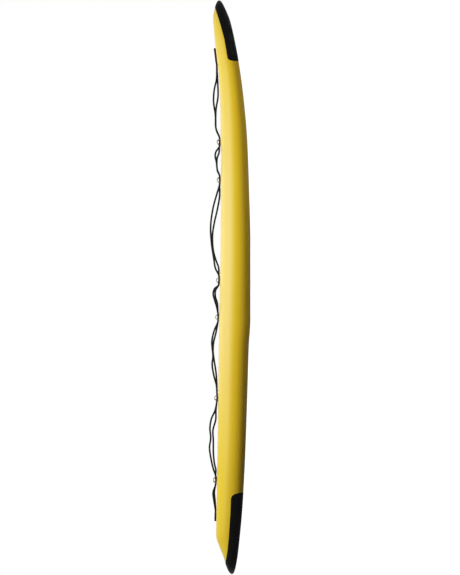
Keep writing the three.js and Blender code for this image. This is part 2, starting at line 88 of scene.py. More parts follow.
# Bumper edges: share of the bumper's length from the tip, share of the nose's height
NOSE_EDGE = [
    (0.118, 0.95), (0.37, 0.82), (0.56, 0.735), (0.66, 0.692), (0.89, 0.631), (0.955, 0.61), (0.982, 0.575),
    (0.994, 0.53), (1, 0.45),
]
TAIL_EDGE = [
    (0.14, 0.67), (0.313, 0.609), (0.586, 0.558), (0.8, 0.53), (0.93, 0.52), (0.957, 0.498), (0.977, 0.44),
    (0.99, 0.36), (1, 0.25),
]

# Ropes, as in the source of the solids
RING_COUNT = 6
ROPE_RADIUS = 0.005
BOW_HEIGHT = 0.057
BOW_LEAN = 0.012
PASS_REACH, PASS_SWING, PASS_RISE = 0.028, 0.023, 0.008
GATE_REACH, GATE_SWING = 0.007, 0.012
CUP_PROUD = 0.0008
CAD_STATIONS = 30
BOWS = {
    "right": [
        [(0.1, 0.18), (0.21, 0.28), (0.34, 0.56), (0.49, 0.67), (0.66, 0.51), (0.83, 0.46)],
        [(0.265, 0.47), (0.38, 0.54), (0.54, 0.42), (0.75, 0.33)],
        [(0.13, 0.37), (0.28, 0.77), (0.46, 1), (0.63, 0.91), (0.78, 0.68), (0.88, 0.49)],
        [(0.23, 0.51), (0.37, 0.63), (0.54, 0.47), (0.7, 0.28)],
        [(0.17, 0.49), (0.3, 0.7), (0.485, 0.58), (0.585, 0.65), (0.72, 0.47), (0.84, 0.21)],
        [(0.155, 0.3), (0.25, 0.63), (0.36, 0.76), (0.485, 0.67), (0.6, 0.77), (0.725, 0.63), (0.86, 0.37)],
        [(0.375, 0.37), (0.635, 0.28), (0.865, 0.15)],
    ],
    "left": [
        [(0.115, 0.16), (0.265, 0.18), (0.42, 0.23), (0.58, 0.44), (0.73, 0.49), (0.84, 0.44)],
        [(0.28, 0.18), (0.405, 0.35), (0.565, 0.39), (0.75, 0.33)],
        [(0.16, 0.14), (0.29, 0.35), (0.425, 0.65), (0.55, 0.82), (0.695, 0.74), (0.8, 0.46), (0.87, 0.19)],
        [(0.275, 0.42), (0.44, 0.42), (0.625, 0.21)],
        [(0.185, 0.3), (0.31, 0.53), (0.42, 0.58), (0.54, 0.46), (0.675, 0.28), (0.815, 0.18)],
        [(0.16, 0.21), (0.265, 0.21), (0.4, 0.47), (0.515, 0.42), (0.68, 0.39), (0.8, 0.28), (0.885, 0.12)],
        [(0.375, 0.25), (0.635, 0.18), (0.865, 0.12)],
    ],
}
SIDES = [("left", 1), ("right", -1)]

# Clamps: length, how far from the tip, where the rope comes out and how far in it ends
CLAMP_HEIGHT = 0.012
CLAMP_WIDTH = 0.092
CLAMP_CORNER = 0.012
CLAMP_EDGE = 0.003
ROPE_EXIT_OUT = 0.019
ROPE_END_OUT = 0.012
CLAMPS = {
    "nose": {"length": 0.084, "setback": 0.265, "direction": 1, "hold": 0.055},
    "tail": {"length": 0.049, "setback": 0.295, "direction": -1, "hold": 0.032},
}
SCREW_SPACING = 0.064
SCREW_HEAD_RADIUS = 0.0048
SCREW_HEAD_HEIGHT = 0.0032
SCREW_SINK = 0.0003
SCREW_LENGTH = 0.04
SHANK_RADIUS = 0.0025


# Camera

def make_camera():
    data = bpy.data.cameras.new("camera")
    data.lens = SENSOR * CAMERA_DISTANCE / VIEW_HEIGHT
    data.sensor_width = SENSOR
    data.clip_end = CAMERA_REACH
    camera = bpy.data.objects.new("camera", data)
    bpy.context.scene.collection.objects.link(camera)
    right, up, back = Vector((0, 0, -1)), Vector((1, 0, 0)), Vector((0, -1, 0))
    turn = Matrix((right, up, back)).transposed().to_4x4()
    camera.matrix_world = Matrix.Translation((CAMERA_X, -CAMERA_DISTANCE, CAMERA_Z)) @ turn
    bpy.context.scene.camera = camera


make_camera()


# Outlines and sections of the board

def smooth_line(places, values):
    """A line through the points that never swings past them, flat where they are level."""
    places, values = np.array(places, float), np.array(values, float)
    rises = np.diff(values) / np.diff(places)
    slopes = np.concatenate(([rises[0]], np.zeros(len(rises) - 1), [rises[-1]]))
    for i in range(1, len(rises)):
        product = rises[i - 1] * rises[i]
        slopes[i] = 0 if product <= 0 else 2 * product / (rises[i - 1] + rises[i])

    def at(place):
        i = int(np.clip(np.searchsorted(places, place) - 1, 0, len(rises) - 1))
        span = places[i + 1] - places[i]
        t = (place - places[i]) / span
        blend = t * t * (3 - 2 * t)
        start = slopes[i] * span * t * (1 - t) ** 2
        end = slopes[i + 1] * span * t * t * (t - 1)
        return values[i] * (1 - blend) + values[i + 1] * blend + start + end

    return at


def phase_of(share):
    return math.acos(1 - 2 * share) / math.pi


def phase_at(x):
    return phase_of(min(max(0.5 - x / BOARD_LENGTH, 0), 1))


def place_of(phase):
    return BOARD_LENGTH * math.cos(math.pi * phase) / 2


def line_over_phase(points):
    return smooth_line([phase_of(share) for share, _ in points], [value for _, value in points])


deck_line = line_over_phase(DECK_LINE)
keel_line = line_over_phase(KEEL_LINE)
width_line = line_over_phase(WIDTH_LINE)


def station(phase):
    """Half width, deck height, keel height, height of the widest place, and the deck's dish."""
    deck, keel = NOSE_HEIGHT * deck_line(phase), NOSE_HEIGHT * keel_line(phase)
    dish = DECK_DISH * math.sin(math.pi * (1 - math.cos(math.pi * phase)) / 2)
    return HALF_WIDTH * width_line(phase), deck, keel, keel + WIDEST * (deck - keel), dish


# A turn says where a point is on the half section: 0 at the deck's centre, 1 where the deck stops being flat,
# 2 at the widest place, 3 where the hull starts to be flat, 4 at the keel.
DECK_SEAM_TURN = 1 + math.asin((DECK_SEAM - FLAT_DECK) / (1 - FLAT_DECK)) / (math.pi / 2)
HULL_SEAM_TURN = 2 + math.asin(1 - HULL_SEAM / WIDEST) / (math.pi / 2)


def section_point(phase, turn, side):
    half, deck, keel, widest, dish = station(phase)
    if turn <= 1:
        out, z = FLAT_DECK * turn, deck - dish * (1 - turn * turn)
    elif turn <= 2:
        angle = (turn - 1) * math.pi / 2
        out, z = FLAT_DECK + (1 - FLAT_DECK) * math.sin(angle), widest + (deck - widest) * math.cos(angle)
    elif turn <= 3:
        angle = (turn - 2) * math.pi / 2
        out, z = FLAT_HULL + (1 - FLAT_HULL) * math.cos(angle), widest - (widest - keel) * math.sin(angle)
    else:
        out, z = FLAT_HULL * (4 - turn), keel
    return Vector((place_of(phase), side * half * out, z))


def turn_at_height(phase, z):
    _, deck, keel, widest, _ = station(phase)
    if z >= widest:
        return 1 + math.acos(min((z - widest) / (deck - widest), 1)) / (math.pi / 2)
    return 2 + math.asin(min((widest - z) / (widest - keel), 1)) / (math.pi / 2)


def deck_height(x, y):
    """Height of the solids' deck, which runs straight from station to station."""
    phase = phase_at(x)
    first = min(int(phase * CAD_STATIONS), CAD_STATIONS - 1)
    near, far = first / CAD_STATIONS, (first + 1) / CAD_STATIONS
    t = (place_of(near) - x) / (place_of(near) - place_of(far))
    half = (1 - t) * station(near)[0] + t * station(far)[0]
    reach = min(abs(y) / (half * FLAT_DECK), 1)
    heights = []
    for end in (near, far):
        _, deck, _, _, dish = station(end)
        knots = [deck - dish, deck - dish * 0.75, deck]
        heights.append(np.interp(reach, [0, 0.5, 1], knots))
    return (1 - t) * heights[0] + t * heights[1]


nose_edge = smooth_line(
    [BOARD_LENGTH / 2 - NOSE_BUMPER_LENGTH * along for along, _ in reversed(NOSE_EDGE)],
    [NOSE_HEIGHT * up for _, up in reversed(NOSE_EDGE)],
)
tail_edge = smooth_line(
    [TAIL_BUMPER_LENGTH * along - BOARD_LENGTH / 2 for along, _ in TAIL_EDGE],
    [NOSE_HEIGHT * up for _, up in TAIL_EDGE],
)
NOSE_CAP_X = BOARD_LENGTH / 2 - NOSE_BUMPER_LENGTH * NOSE_EDGE[0][0]
NOSE_REAR_X = BOARD_LENGTH / 2 - NOSE_BUMPER_LENGTH
TAIL_CAP_X = TAIL_BUMPER_LENGTH * TAIL_EDGE[0][0] - BOARD_LENGTH / 2
TAIL_FRONT_X = TAIL_BUMPER_LENGTH - BOARD_LENGTH / 2


# Mesh helpers

BEVEL_ANGLE = math.radians(50)
SHARP_ANGLE = math.radians(35)
MERGE_DISTANCE = 1e-6


def new_object(name, vertices, faces):
    mesh = bpy.data.meshes.new(name)
    mesh.from_pydata([tuple(v) for v in vertices], [], faces)
    mesh.validate()
    piece = bpy.data.objects.new(name, mesh)
    bpy.context.scene.collection.objects.link(piece)
    mesh.shade_smooth()
    return piece


def grid_faces(rows, columns, start=0, around=False):
    faces = []
    last = columns if around else columns - 1
    for i in range(rows - 1):
        for j in range(last):
            k = (j + 1) % columns
            a, b = start + i * columns, start + (i + 1) * columns
            faces.append((a + j, b + j, b + k, a + k))
    return faces


def merge_doubles(piece, distance=MERGE_DISTANCE):
    mesh = bmesh.new()
    mesh.from_mesh(piece.data)
    bmesh.ops.remove_doubles(mesh, verts=mesh.verts, dist=distance)
    bmesh.ops.recalc_face_normals(mesh, faces=mesh.faces)
    mesh.to_mesh(piece.data)
    mesh.free()


def face_outward(piece):
    """Turns an open panel so that its normals point away from the board's middle line."""
    total = 0
    for polygon in piece.data.polygons:
        away = Vector((0, polygon.center.y, polygon.center.z - NOSE_HEIGHT / 2))
        total += polygon.area * polygon.normal.dot(away)
    if total < 0:
        piece.data.flip_normals()


def finish_edges(piece, width, segments=2):
    bevel = piece.modifiers.new("edges", "BEVEL")
    bevel.width = width
    bevel.segments = segments
    bevel.limit_method = "ANGLE"
    bevel.angle_limit = BEVEL_ANGLE
    normals = piece.modifiers.new("normals", "WEIGHTED_NORMAL")
    normals.keep_sharp = True


def thicken(piece, thickness):
    solid = piece.modifiers.new("thickness", "SOLIDIFY")
    solid.thickness = thickness
    solid.offset = -1


def apply_modifiers(piece):
    graph = bpy.context.evaluated_depsgraph_get()
    mesh = bpy.data.meshes.new_from_object(piece.evaluated_get(graph))
    piece.modifiers.clear()
    piece.data = mesh
    mesh.shade_smooth()


def cut_away(piece, cutters):
    for cutter in cutters:
        cut = piece.modifiers.new("cut", "BOOLEAN")
        cut.operation = "DIFFERENCE"
        cut.solver = "EXACT"
        cut.object = cutter
    apply_modifiers(piece)
    for cutter in cutters:
        bpy.data.objects.remove(cutter)


def tube(name, path, radius, sides, outward=None):
    """A closed round tube along the points. outward may give a further radius for each row and side."""
    points = np.array([tuple(p) for p in path])
    tangents = np.gradient(points, axis=0)
    tangents /= np.linalg.norm(tangents, axis=1)[:, None]
    # The first normal lies level, unless the path starts close to straight up
    normal = np.cross(tangents[0], (0.0, 0.0, 1.0))
    if np.linalg.norm(normal) < 0.1:
        normal = np.cross(tangents[0], (0.0, 1.0, 0.0))
    angles = 2 * math.pi * np.arange(sides) / sides
    rows = []
    for i, tangent in enumerate(tangents):
        normal = normal - tangent * normal.dot(tangent)
        normal /= np.linalg.norm(normal)
        across = np.cross(tangent, normal)
        reach = np.full(sides, radius) + (outward[i] if outward is not None else 0)
        ring = np.outer(np.cos(angles) * reach, normal) + np.outer(np.sin(angles) * reach, across)
        rows.append(points[i] + ring)
    vertices = np.concatenate(rows + [points[:1], points[-1:]])
    faces = grid_faces(len(rows), sides, around=True)
    first, last = len(vertices) - 2, len(vertices) - 1
    base = (len(rows) - 1) * sides
    for j in range(sides):
        k = (j + 1) % sides
        faces.append((first, j, k))
        faces.append((last, base + k, base + j))
    piece = new_object(name, vertices, faces)
    merge_doubles(piece)
    piece.data.shade_smooth()
    return piece


def turned(name, profile, sides, place=None):
    """A round piece from its profile of radius and height about Z, then moved to place."""
    vertices = []
    for radius, height in profile:
        for j in range(sides):
            angle = 2 * math.pi * j / sides
            vertices.append(Vector((radius * math.cos(angle), radius * math.sin(angle), height)))
    faces = grid_faces(len(profile), sides, around=True)
    piece = new_object(name, vertices, faces)
    merge_doubles(piece)
    if place is not None:
        piece.data.transform(place)
    piece.data.shade_smooth()
    return piece


def join(name, pieces):
    """One object of several meshes."""
    mesh = bmesh.new()
    for piece in pieces:
        mesh.from_mesh(piece.data)
        bpy.data.objects.remove(piece)
    data = bpy.data.meshes.new(name)
    mesh.to_mesh(data)
    mesh.free()
    data.shade_smooth()
    joined = bpy.data.objects.new(name, data)
    bpy.context.scene.collection.objects.link(joined)
    return joined


# Ropes

def clamp_frame(name):
    """The clamp's own frame: on the deck's centreline, tilted with the deck."""
    clamp = CLAMPS[name]
    near = clamp["direction"] * (BOARD_LENGTH / 2 - clamp["setback"])
    far = near - clamp["direction"] * clamp["length"]
    near_z, far_z = deck_height(near, 0), deck_height(far, 0)
    middle = (near + far) / 2
    height = max(deck_height(middle, 0), (near_z + far_z) / 2) + FIT_GAP
    tilt = Matrix.Rotation(-math.atan((near_z - far_z) / (near - far)), 4, "Y")
    return Matrix.Translation((middle, 0, height)) @ tilt


def clamp_rope_points(name, side):
    """Where a rope leaves the clamp, and where it ends inside."""
    clamp = CLAMPS[name]
    place = clamp_frame(name)
    seat = ROPE_RADIUS + FIT_GAP
    mouth_x = -clamp["direction"] * clamp["length"] / 2
    end_x = mouth_x + clamp["direction"] * clamp["hold"]
    mouth = place @ Vector((mouth_x, side * ROPE_EXIT_OUT, seat))
    end = place @ Vector((end_x, side * ROPE_END_OUT, seat))
    return mouth, end


def ring_place(side_name, number):
    low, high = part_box(f"ring_cup_{side_name}_{number}")
    return Vector(((low[0] + high[0]) / 2, (low[1] + high[1]) / 2, high[2]))


def on_deck(x, y, above):
    return Vector((x, y, deck_height(x, y) + above))


def pass_points(ring, side, outwards):
    """The rope's way through a ring, in the direction from the nose to the tail."""
    turn = side if outwards else -side
    seat = CUP_PROUD + FIT_GAP + ROPE_RADIUS
    steps = [
        (PASS_REACH, -PASS_SWING, PASS_RISE), (GATE_REACH, -GATE_SWING, seat),
        (-GATE_REACH, GATE_SWING, seat), (-PASS_REACH, PASS_SWING, PASS_RISE),
    ]
    return [on_deck(ring.x + ahead, ring.y + turn * swing, above) for ahead, swing, above in steps]


def bow_points(start, finish, lean, bow):
    """The rope's way over the deck: bow gives shares of the way and of the bow's height."""
    points = []
    for share, rise in bow:
        x = start.x + (finish.x - start.x) * share
        y = start.y + (finish.y - start.y) * share + lean * math.sin(math.pi * share)
        points.append(on_deck(x, y, BOW_HEIGHT * rise))
    return points


def rope_knots(side_name, side):
    front_mouth, front_end = clamp_rope_points("nose", side)
    rear_mouth, rear_end = clamp_rope_points("tail", side)
    rings = [ring_place(side_name, i + 1) for i in range(RING_COUNT)]
    knots = [front_end, front_mouth]
    for i, bow in enumerate(BOWS[side_name]):
        start = front_mouth if i == 0 else rings[i - 1]
        finish = rear_mouth if i == RING_COUNT else rings[i]
        in_or_out = -1 if i % 2 == 0 else 1
        between = 0 < i < RING_COUNT
        shift = Vector((0, side * in_or_out * PASS_SWING if between else 0, 0))
        lean = side * in_or_out * BOW_LEAN if between else 0
        knots += bow_points(start + shift, finish + shift, lean, bow)
        if i < RING_COUNT:
            knots += pass_points(rings[i], side, i % 2 == 0)
    return knots + [rear_mouth, rear_end]


def curve_through(knots, step):
    """A smooth line through the knots, with points about a step apart."""
    points = [np.array(knot) for knot in knots]
    points = [2 * points[0] - points[1]] + points + [2 * points[-1] - points[-2]]
    line = [points[1]]
    for p0, p1, p2, p3 in zip(points, points[1:], points[2:], points[3:]):
        d0, d1, d2 = (np.linalg.norm(b - a) ** 0.5 for a, b in ((p0, p1), (p1, p2), (p2, p3)))
        start = ((p1 - p0) / d0 - (p2 - p0) / (d0 + d1) + (p2 - p1) / d1) * d1
        end = ((p2 - p1) / d1 - (p3 - p1) / (d1 + d2) + (p3 - p2) / d2) * d1
        for t in np.linspace(0, 1, max(2, int(round(np.linalg.norm(p2 - p1) / step))) + 1)[1:]:
            line.append(
                p1 + start * t + (3 * (p2 - p1) - 2 * start - end) * t * t
                + (2 * (p1 - p2) + start + end) * t ** 3
            )
    return np.array(line)


BRAID_STRANDS = 6
BRAID_PITCH = 0.036
BRAID_DEPTH = 0.0008
STRAND_ROUNDING = 0.6
STRAND_MEAN = 0.75
ROPE_SIDES = 36
ROPE_STEP = 0.00125
COARSER = 1


def braid(line, sides):
    """How far each place of the rope's surface stands out, for a round plait of crossing strands."""
    along = np.concatenate(([0], np.cumsum(np.linalg.norm(np.diff(line, axis=0), axis=1))))
    angle = np.arange(sides) / sides
    one = BRAID_STRANDS * (angle[None, :] + along[:, None] / BRAID_PITCH)
    other = BRAID_STRANDS * (angle[None, :] - along[:, None] / BRAID_PITCH)
    on_top = np.floor(one) + np.floor(other)
    crown = np.where(on_top % 2 == 0, one, other)
    return BRAID_DEPTH * (np.abs(np.sin(math.pi * crown)) ** STRAND_ROUNDING - STRAND_MEAN)


ropes = {}
for side_name, side in SIDES:
    line = curve_through(rope_knots(side_name, side), COARSER * ROPE_STEP)
    rope = tube(f"{side_name}_braided_rope", line, ROPE_RADIUS, ROPE_SIDES, braid(line, ROPE_SIDES))
    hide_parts(f"{side_name}_grab_rope")
    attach(rope, "board")
    ropes[side_name] = (rope, line)


# Skins and bumpers

SEAM_HALF_GAP = 0.0004
SEAM_TURN_GAP = 0.004
SKIN_THICKNESS = 0.006
BUMPER_THICKNESS = 0.005
BUMPER_PROUD = 0.0007
SEAM_EDGE = 0.0009
BUMPER_EDGE = 0.0016

# Rows and columns of the panels, with rows close together at the bumpers' rounded corners
SKIN_ROWS = 170
DECK_COLUMNS = 16
RAIL_COLUMNS = 25
HULL_COLUMNS = 22
CORNER_REACH = 0.026
CORNER_ROWS = 27
CAP_ROWS = 14
CAP_COLUMNS = 9
BAND_ROWS = 40
BAND_COLUMNS = 36
BAND_CORNER = (0.02, 0.019)
BAND_CORNER_ROWS = 16
CAP_TO_BAND_GAP = 2e-5


def phases_between(front_x, rear_x, count):
    return list(np.linspace(phase_at(front_x), phase_at(rear_x), count))


def band(name, phases, turns_at):
    """A panel over the given phases. turns_at gives each row's list of (turn, side)."""
    vertices = [section_point(phase, turn, side) for phase in phases for turn, side in turns_at(phase)]
    columns = len(vertices) // len(phases)
    piece = new_object(name, vertices, grid_faces(len(phases), columns))
    face_outward(piece)
    return piece


def across_deck(limit, count):
    turns = np.linspace(0, limit, count + 1)
    return [(t, 1) for t in turns[:0:-1]] + [(0, 1)] + [(t, -1) for t in turns[1:]]


def across_hull(limit, count):
    turns = np.linspace(limit, 4, count + 1)
    return [(t, 1) for t in turns[:-1]] + [(4, 1)] + [(t, -1) for t in turns[-2::-1]]


def lower_turn(phase):
    """Where the rail skin ends: at the hull seam, or at the edge of a bumper."""
    x = place_of(phase)
    if x > NOSE_REAR_X:
        return max(turn_at_height(phase, nose_edge(x)), DECK_SEAM_TURN + 2 * SEAM_TURN_GAP)
    if x < TAIL_FRONT_X:
        return max(turn_at_height(phase, tail_edge(x)), DECK_SEAM_TURN + 2 * SEAM_TURN_GAP)
    return HULL_SEAM_TURN


def make_skins():
    skin_phases = phases_between(NOSE_CAP_X - SEAM_HALF_GAP, TAIL_CAP_X + SEAM_HALF_GAP, SKIN_ROWS)
    for corner in (NOSE_REAR_X, TAIL_FRONT_X):
        skin_phases += phases_between(corner + CORNER_REACH, corner - CORNER_REACH, CORNER_ROWS)
    skin_phases = sorted(skin_phases)

    def deck_turns(phase):
        return across_deck(DECK_SEAM_TURN - SEAM_TURN_GAP, DECK_COLUMNS)

    def hull_turns(phase):
        return across_hull(HULL_SEAM_TURN + SEAM_TURN_GAP, HULL_COLUMNS)

    deck = band("deck_foam_skin", skin_phases, deck_turns)
    rails = {}
    for side_name, side in SIDES:
        def rail_turns(phase, side=side):
            first, last = DECK_SEAM_TURN + SEAM_TURN_GAP, lower_turn(phase) - SEAM_TURN_GAP
            return [(turn, side) for turn in np.linspace(first, last, RAIL_COLUMNS)]

        rails[side_name] = band(f"rail_foam_skin_{side_name}", skin_phases, rail_turns)
    hull_phases = phases_between(NOSE_REAR_X - SEAM_HALF_GAP, TAIL_FRONT_X + SEAM_HALF_GAP, SKIN_ROWS)
    hull = band("hull_foam_skin", hull_phases, hull_turns)
    return deck, rails, hull


def bumper(name, cap_phases, band_phases, edge):
    """A cap all round the tip, and a band that wraps under the board up to the edge."""
    first_turn = turn_at_height(band_phases[0], edge(place_of(band_phases[0])))
    top = [(turn, 1) for turn in np.linspace(0, first_turn, CAP_COLUMNS)[:-1]]
    around_under = across_hull(first_turn, BAND_COLUMNS)
    loop = top + around_under + [(turn, -1) for turn, _ in reversed(top)]
    vertices = [section_point(phase, turn, side) for phase in cap_phases for turn, side in loop]
    faces = grid_faces(len(cap_phases), len(loop))
    start = len(vertices)
    for phase in band_phases:
        turns = across_hull(turn_at_height(phase, edge(place_of(phase))), BAND_COLUMNS)
        vertices += [section_point(phase, turn, side) for turn, side in turns]
    faces += grid_faces(len(band_phases), len(around_under), start)
    piece = new_object(name, vertices, faces)
    merge_doubles(piece, CAP_TO_BAND_GAP)
    face_outward(piece)
    vertices = piece.data.vertices
    shifts = [vertex.normal * BUMPER_PROUD for vertex in vertices]
    for vertex, shift in zip(vertices, shifts):
        vertex.co += shift
    thicken(piece, BUMPER_THICKNESS)
    finish_edges(piece, BUMPER_EDGE, 3)
    return piece


deck_skin, rail_skins, hull_skin = make_skins()
skins = [deck_skin, hull_skin, *rail_skins.values()]
for piece in skins:
    thicken(piece, SKIN_THICKNESS)

CUP_HOLE_RADIUS = 0.0208
CUP_HOLE_REACH = 0.03
CUP_HOLE_SIDES = 32


def cup_hole(place):
    profile = [(0, -CUP_HOLE_REACH), (CUP_HOLE_RADIUS, -CUP_HOLE_REACH)]
    profile += [(radius, -height) for radius, height in reversed(profile)]
    return turned("hole", profile, CUP_HOLE_SIDES, Matrix.Translation(place))


ring_places = {
    (side_name, i + 1): ring_place(side_name, i + 1) for side_name, _ in SIDES for i in range(RING_COUNT)
}
cut_away(deck_skin, [join("holes", [cup_hole(place) for place in ring_places.values()])])
for piece in skins:
    finish_edges(piece, SEAM_EDGE)


def bumper_phases(tip, cap, end):
    """The phases of a bumper's cap and of its band, from the tip to where the bumper ends."""
    towards_tip = 1 if tip > end else -1
    stop, restart = (end + towards_tip * reach for reach in BAND_CORNER)
    band_phases = phases_between(cap, stop, BAND_ROWS) + phases_between(restart, end, BAND_CORNER_ROWS)
    return phases_between(tip, cap, CAP_ROWS), band_phases


nose_phases = bumper_phases(BOARD_LENGTH / 2, NOSE_CAP_X, NOSE_REAR_X)
tail_phases = bumper_phases(-BOARD_LENGTH / 2, TAIL_CAP_X, TAIL_FRONT_X)
nose_bumper = bumper("nose_rubber_bumper", *nose_phases, nose_edge)
tail_bumper = bumper("tail_rubber_bumper", *tail_phases, tail_edge)

for piece, node, slot in [
    (deck_skin, "deck_skin", "skin"), (hull_skin, "hull_skin", "skin"),
    (rail_skins["left"], "rail_skin_left", "skin"), (rail_skins["right"], "rail_skin_right", "skin"),
    (nose_bumper, "nose_bumper", "bumper_rubber"), (tail_bumper, "tail_bumper", "bumper_rubber"),
]:
    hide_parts(node)
    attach(piece, "board")


# Ring cups and wire rings

# In millimetres: profiles of radius and height, from the deck or from the socket's mouth
CUP_PROFILE = [
    (0, -12), (15.2, -12), (16.2, -11.6), (16.5, -10.6), (16.5, -0.7), (16.7, -0.25), (17.2, 0), (21.2, 0),
    (21.8, -0.2), (22, -0.7), (20.4, -0.8), (20.4, -17.6), (20, -18), (0, -18),
]
SOCKET_PROFILE = [(2.2, 0), (3.4, 0), (3.6, 0.2), (3.6, 1.7), (2.2, 1.7), (2.2, 0)]
SOCKET_PLACE = 15.1
CUP_SIDES = 64
SOCKET_SIDES = 24

# The wire, in millimetres as well: heights are from the deck
HINGE_DEPTH = 6
WIRE_RADIUS = 2
WIRE_SIDES = 16
WIRE_BEND = 3
BEND_STEPS = 8
FOOT_END = 18.9
FOOT_MIDDLE = 17.5
RING_HALF_WIDTH = 13
RING_WAIST = 4
RING_SHOULDER = 7
CROWN_STEPS = 12


def in_metres(points):
    return [(a * MM, b * MM) for a, b in points]


def make_cup(side_name, number, place):
    parts = [turned("cup", in_metres(CUP_PROFILE), CUP_SIDES)]
    for direction in (1, -1):
        lay = Matrix.Rotation(direction * math.pi / 2, 4, "Y")
        move = Matrix.Translation((direction * SOCKET_PLACE * MM, 0, -HINGE_DEPTH * MM))
        parts.append(turned("socket", in_metres(SOCKET_PROFILE), SOCKET_SIDES, move @ lay))
    cup = join(f"deck_cup_{side_name}_{number}", parts)
    cup.data.transform(Matrix.Translation(place))
    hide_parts(f"ring_cup_{side_name}_{number}")
    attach(cup, "board")
    return cup


def wire_path():
    """The wire from one foot over the crown to the other foot, in millimetres."""
    half = [(FOOT_END, -HINGE_DEPTH), (FOOT_MIDDLE, -HINGE_DEPTH)]
    for i in range(BEND_STEPS + 1):
        angle = math.pi / 2 * i / BEND_STEPS
        x = RING_HALF_WIDTH + WIRE_BEND * (1 - math.sin(angle))
        half.append((x, -HINGE_DEPTH + WIRE_BEND * (1 - math.cos(angle))))
    half += [(RING_HALF_WIDTH, 0), (RING_HALF_WIDTH, RING_WAIST)]
    for i in range(CROWN_STEPS + 1):
        angle = math.pi / 2 * i / CROWN_STEPS
        half.append((RING_HALF_WIDTH * math.cos(angle), RING_SHOULDER + RING_HALF_WIDTH * math.sin(angle)))
    return half + [(-x, z) for x, z in reversed(half[:-1])]


def make_ring(side_name, number, place):
    path = [place + Vector((x, 0, z)) for x, z in in_metres(wire_path())]
    ring = tube(f"wire_ring_{side_name}_{number}", path, WIRE_RADIUS * MM, WIRE_SIDES)
    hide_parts(f"rope_ring_{side_name}_{number}")
    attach(ring, f"ring_{side_name}_{number}")
    return ring


cups = [make_cup(*key, place) for key, place in ring_places.items()]
rings = [make_ring(*key, place) for key, place in ring_places.items()]


# Rope clamps with their screws

CLAMP_CORNER_STEPS = 8
CLAMP_FOOT_EDGE = 0.0006
CLAMP_EDGE_STEPS = 6

# What is cut into a clamp. A channel takes every sixth point of the rope's line and starts a little before it
CHANNEL_GAP = 0.0006
CHANNEL_SIDES = 24
CHANNEL_BEYOND = 0.02
CHANNEL_STRIDE = 6
CHANNEL_LEAD = 0.2
HOLE_BELOW = -0.002
HOLE_ABOVE = 0.02
HOLE_SIDES = 32

# Screws: the thread's core is a share of the shank's radius, its crest and its end are shares of the pitch
SCREW_SIDES = 40
THREAD_CORE = 0.8
THREAD_PITCH = 0.0016
THREAD_CREST, THREAD_END = 0.45, 0.9
THREAD_START = 0.0045
THREAD_STOP = 0.006
POINT_RADIUS = 0.0008
POINT_RISE, POINT_LENGTH = 0.0004, 0.004
PLAIN_SHANK = 0.005
HEAD_ROUNDING = 0.0003
CROWN_DROP = 0.0008
CROWN_INSET = 0.001
HEX_RADIUS = 0.0024
HEX_DEPTH = 0.0019
HEX_ABOVE = 0.002


def rounded_outline(length, width, inset, z):
    corner = CLAMP_CORNER - inset
    ring = []
    for quarter, (sx, sy) in enumerate([(1, 1), (-1, 1), (-1, -1), (1, -1)]):
        for i in range(CLAMP_CORNER_STEPS + 1):
            angle = math.pi / 2 * (quarter + i / CLAMP_CORNER_STEPS)
            ring.append(Vector((
                sx * (length / 2 - CLAMP_CORNER) + corner * math.cos(angle),
                sy * (width / 2 - CLAMP_CORNER) + corner * math.sin(angle), z,
            )))
    return ring


def clamp_body(name, length):
    levels = [(CLAMP_FOOT_EDGE, 0), (0, CLAMP_FOOT_EDGE)]
    for i in range(CLAMP_EDGE_STEPS + 1):
        angle = math.pi / 2 * i / CLAMP_EDGE_STEPS
        levels.append((CLAMP_EDGE * (1 - math.cos(angle)), CLAMP_HEIGHT - CLAMP_EDGE * (1 - math.sin(angle))))
    rings = [rounded_outline(length, CLAMP_WIDTH, inset, z) for inset, z in levels]
    vertices = [point for ring in rings for point in ring]
    count = len(rings[0])
    faces = grid_faces(len(rings), count, around=True)
    faces.append(tuple(range(count)))
    faces.append(tuple(range(len(vertices) - 1, len(vertices) - count - 1, -1)))
    piece = new_object(name, vertices, faces)
    merge_doubles(piece)
    return piece


def screw_hole(side):
    shoulder = CLAMP_HEIGHT - SCREW_SINK - SCREW_HEAD_HEIGHT - FIT_GAP
    shank, head = SHANK_RADIUS + FIT_GAP, SCREW_HEAD_RADIUS + FIT_GAP
    profile = [
        (0, HOLE_BELOW), (shank, HOLE_BELOW), (shank, shoulder),
        (head, shoulder), (head, HOLE_ABOVE), (0, HOLE_ABOVE),
    ]
    return turned("hole", profile, HOLE_SIDES, Matrix.Translation((0, side * SCREW_SPACING / 2, 0)))


def rope_channel(name, side_name):
    """The cutter for the rope's channel: it follows the rope's own line, a little past its end."""
    line = ropes[side_name][1]
    reach = int((CLAMPS[name]["hold"] + CHANNEL_BEYOND) / ROPE_STEP / COARSER)
    path = line[:reach:CHANNEL_STRIDE] if name == "nose" else line[:-reach:-CHANNEL_STRIDE]
    path = np.concatenate(([path[0] + (path[0] - path[1]) * CHANNEL_LEAD], path))
    return tube("channel", path, ROPE_RADIUS + CHANNEL_GAP, CHANNEL_SIDES)


def make_clamp(name):
    place = clamp_frame(name)
    body = clamp_body(f"{name}_clamp_block", CLAMPS[name]["length"])
    body.data.transform(place)
    cutters = []
    for side_name, side in SIDES:
        hole = screw_hole(side)
        hole.data.transform(place)
        cutters += [hole, rope_channel(name, side_name)]
    cut_away(body, cutters)
    body.data.set_sharp_from_angle(angle=SHARP_ANGLE)
    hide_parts(f"{name}_rope_clamp")
    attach(body, "board")
    return body


def hex_recess(top):
    """The cutter for a screw's hexagon socket."""
    profile = [(0, -HEX_DEPTH), (HEX_RADIUS, -HEX_DEPTH), (HEX_RADIUS, HEX_ABOVE), (0, HEX_ABOVE)]
    return turned("socket", profile, 6, Matrix.Translation((0, 0, top)))


